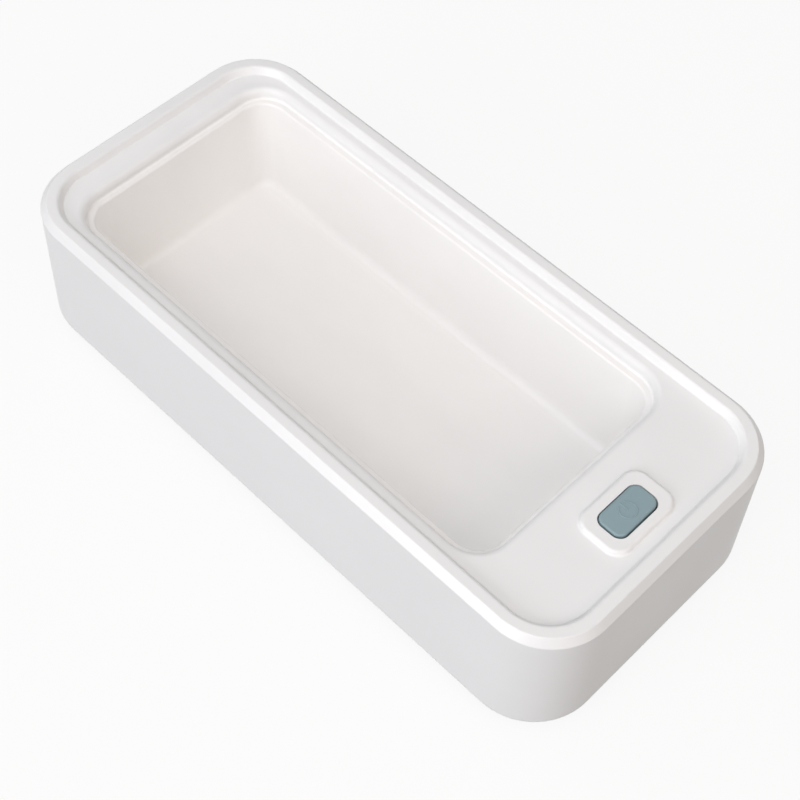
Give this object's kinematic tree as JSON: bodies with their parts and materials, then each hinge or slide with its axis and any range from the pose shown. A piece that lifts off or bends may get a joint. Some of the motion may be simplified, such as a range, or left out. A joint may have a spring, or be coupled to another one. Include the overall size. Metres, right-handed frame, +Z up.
{
  "type": "ultrasonic jewelry cleaner",
  "caption": "Low rectangular ultrasonic cleaner with rounded corners, an open white tank, a recessed lid ledge and a raised island with a blue-grey power button.",
  "frame": {"origin": "centre of the base, on the surface that the feet stand on", "axes": "+X along the length toward the button end, +Y toward the long side with the power jack, +Z up"},
  "size_m": [0.2102, 0.0972, 0.0485],
  "materials": {
    "white_plastic": "satin gloss white",
    "tub_plastic": "satin gloss warm white",
    "base_plastic": "matte white",
    "button_plastic": "satin blue grey",
    "foot_rubber": "matte light grey",
    "silicone": "translucent white",
    "screw_steel": "zinc plated",
    "epoxy": "cured adhesive",
    "spreader_steel": "brushed",
    "piezo_ceramic": "silvered",
    "red_insulation": "satin",
    "black_insulation": "satin",
    "solder": "bright tin",
    "foam": "closed-cell foam",
    "board_green": "solder mask",
    "ferrite": "matte",
    "black_plastic": "matte",
    "copper_wire": "enamelled copper",
    "capacitor_sleeve": "gloss sleeve",
    "film_case": "dipped gloss",
    "sink_aluminium": "extruded",
    "connector_plastic": "natural nylon"
  },
  "bodies": {
    "body": {"base_plate": "base_plastic", "base_screws": "screw_steel", "board_screws": "screw_steel", "bulk_capacitor": "capacitor_sleeve", "button_board": "board_green", "button_board_screws": "screw_steel", "button_boot": "silicone", "button_connector": "connector_plastic", "button_lead_black": "black_insulation", "button_lead_red": "red_insulation", "driver_board": "board_green", "film_capacitor": "film_case", "foot_back_left": "foot_rubber", "foot_back_right": "foot_rubber", "foot_front_left": "foot_rubber", "foot_front_right": "foot_rubber", "heat_sink": "sink_aluminium", "heat_sink_screw": "screw_steel", "housing": "white_plastic", "inductor_core": "ferrite", "inductor_winding": "copper_wire", "jack_pin": "solder", "lead_clips": "base_plastic", "power_jack": "black_plastic", "power_transistor": "black_plastic", "solder_joints": "solder", "tact_switch_body": "black_plastic", "tact_switch_legs": "solder", "tank_gasket": "silicone", "tank_pad_left": "foam", "tank_pad_right": "foam", "tank_screws": "screw_steel", "tank_tub": "tub_plastic", "timer_chip": "black_plastic", "transducer_bond": "epoxy", "transducer_ceramic": "piezo_ceramic", "transducer_connector": "connector_plastic", "transducer_lead_black": "black_insulation", "transducer_lead_red": "red_insulation", "transducer_plate": "spreader_steel", "transformer_bobbin": "black_plastic", "transformer_core": "ferrite", "transformer_winding": "copper_wire"},
    "button": {"power_button": "button_plastic", "tact_switch_plunger": "black_plastic"}
  },
  "joints": [
    {"name": "button_press", "type": "slide", "parent": "body", "child": "button", "axis": [0, 0, -1], "range_m": [0, 0.0004], "stiffness_N_per_m": 4000, "deforming": ["button_boot"]}
  ]
}
